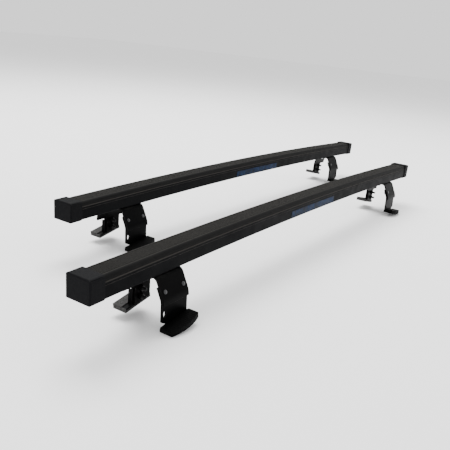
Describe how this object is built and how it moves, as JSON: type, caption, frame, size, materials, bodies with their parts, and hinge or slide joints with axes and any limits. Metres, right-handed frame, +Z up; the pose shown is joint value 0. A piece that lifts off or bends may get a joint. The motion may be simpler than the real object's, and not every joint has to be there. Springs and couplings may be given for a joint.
{
  "type": "roof ski rack",
  "caption": "Pair of arched steel roof cross bars with a grip strip, moulded end caps and bent-steel clamp feet with rubber pads, to which ski carriers are fitted.",
  "frame": {"origin": "on the ground that the long feet stand on, under the middle of the pair", "axes": "+X along the bars to the right, +Y from the front bar to the rear bar, +Z up"},
  "size_m": [1.402, 0.3584, 0.1169],
  "materials": {
    "bar_steel": "black powder coat, satin",
    "foot_steel": "black powder coat, semi-gloss",
    "grip_strip": "dark grey, finely ribbed and matt",
    "label": "plain blue film",
    "cap_plastic": "black moulded plastic, fine grain",
    "boot_rubber": "black, matt",
    "pad_rubber": "dark grey, matt",
    "black_bolt": "black oxide",
    "rivet": "dulled zinc",
    "zinc": "bright zinc plate"
  },
  "bodies": {
    "front_bar": {"front_tube": "bar_steel", "front_grip_strip": "grip_strip", "front_label": "label"},
    "rear_bar": {"rear_tube": "bar_steel", "rear_grip_strip": "grip_strip", "rear_label": "label"},
    "front_left_foot": {"front_left_saddle": "foot_steel", "front_left_lower_leg": "foot_steel", "front_left_leg_bolts": "rivet", "front_left_leg_nuts": "zinc", "front_left_foot_boot": "boot_rubber", "front_left_clamp_bolts": "zinc", "front_left_clamp_washers": "zinc", "front_left_channel_nut": "zinc"},
    "front_left_pad": {"front_left_pad_carrier": "foot_steel", "front_left_roof_pad": "pad_rubber", "front_left_carrier_bolts": "black_bolt", "front_left_carrier_nuts": "black_bolt"},
    "front_left_cap": {"front_left_end_cap": "cap_plastic"},
    "front_right_foot": {"front_right_saddle": "foot_steel", "front_right_lower_leg": "foot_steel", "front_right_leg_bolts": "rivet", "front_right_leg_nuts": "zinc", "front_right_foot_boot": "boot_rubber", "front_right_clamp_bolts": "zinc", "front_right_clamp_washers": "zinc", "front_right_channel_nut": "zinc"},
    "front_right_pad": {"front_right_pad_carrier": "foot_steel", "front_right_roof_pad": "pad_rubber", "front_right_carrier_bolts": "black_bolt", "front_right_carrier_nuts": "black_bolt"},
    "front_right_cap": {"front_right_end_cap": "cap_plastic"},
    "rear_left_foot": {"rear_left_saddle": "foot_steel", "rear_left_lower_leg": "foot_steel", "rear_left_leg_bolts": "rivet", "rear_left_leg_nuts": "zinc", "rear_left_foot_boot": "boot_rubber", "rear_left_clamp_bolts": "zinc", "rear_left_clamp_washers": "zinc", "rear_left_channel_nut": "zinc"},
    "rear_left_pad": {"rear_left_pad_carrier": "foot_steel", "rear_left_roof_pad": "pad_rubber", "rear_left_carrier_bolts": "black_bolt", "rear_left_carrier_nuts": "black_bolt"},
    "rear_left_cap": {"rear_left_end_cap": "cap_plastic"},
    "rear_right_foot": {"rear_right_saddle": "foot_steel", "rear_right_lower_leg": "foot_steel", "rear_right_leg_bolts": "rivet", "rear_right_leg_nuts": "zinc", "rear_right_foot_boot": "boot_rubber", "rear_right_clamp_bolts": "zinc", "rear_right_clamp_washers": "zinc", "rear_right_channel_nut": "zinc"},
    "rear_right_pad": {"rear_right_pad_carrier": "foot_steel", "rear_right_roof_pad": "pad_rubber", "rear_right_carrier_bolts": "black_bolt", "rear_right_carrier_nuts": "black_bolt"},
    "rear_right_cap": {"rear_right_end_cap": "cap_plastic"}
  },
  "joints": [
    {"name": "bar_spacing", "type": "slide", "parent": "front_bar", "child": "rear_bar", "axis": [-0.4061, 0.9138, 0], "range_m": [0, 0.492]},
    {"name": "front_left_foot_slide", "type": "slide", "parent": "front_bar", "child": "front_left_foot", "axis": [-0.9997, 0, -0.025], "range_m": [-0.04, 0.04]},
    {"name": "front_left_pad_slide", "type": "slide", "parent": "front_left_foot", "child": "front_left_pad", "axis": [-0.025, 0, 0.9997], "range_m": [-0.0035, 0.0035]},
    {"name": "front_left_cap_pull", "type": "slide", "parent": "front_bar", "child": "front_left_cap", "axis": [-0.9994, 0, -0.0333], "range_m": [0, 0.045]},
    {"name": "front_right_foot_slide", "type": "slide", "parent": "front_bar", "child": "front_right_foot", "axis": [0.9997, 0, -0.025], "range_m": [-0.04, 0.04]},
    {"name": "front_right_pad_slide", "type": "slide", "parent": "front_right_foot", "child": "front_right_pad", "axis": [0.025, 0, 0.9997], "range_m": [-0.0035, 0.0035]},
    {"name": "front_right_cap_pull", "type": "slide", "parent": "front_bar", "child": "front_right_cap", "axis": [0.9994, 0, -0.0333], "range_m": [0, 0.045]},
    {"name": "rear_left_foot_slide", "type": "slide", "parent": "rear_bar", "child": "rear_left_foot", "axis": [-0.9997, 0, -0.025], "range_m": [-0.04, 0.04]},
    {"name": "rear_left_pad_slide", "type": "slide", "parent": "rear_left_foot", "child": "rear_left_pad", "axis": [-0.025, 0, 0.9997], "range_m": [-0.0035, 0.0035]},
    {"name": "rear_left_cap_pull", "type": "slide", "parent": "rear_bar", "child": "rear_left_cap", "axis": [-0.9994, 0, -0.0333], "range_m": [0, 0.045]},
    {"name": "rear_right_foot_slide", "type": "slide", "parent": "rear_bar", "child": "rear_right_foot", "axis": [0.9997, 0, -0.025], "range_m": [-0.04, 0.04]},
    {"name": "rear_right_pad_slide", "type": "slide", "parent": "rear_right_foot", "child": "rear_right_pad", "axis": [0.025, 0, 0.9997], "range_m": [-0.0035, 0.0035]},
    {"name": "rear_right_cap_pull", "type": "slide", "parent": "rear_bar", "child": "rear_right_cap", "axis": [0.9994, 0, -0.0333], "range_m": [0, 0.045]}
  ]
}
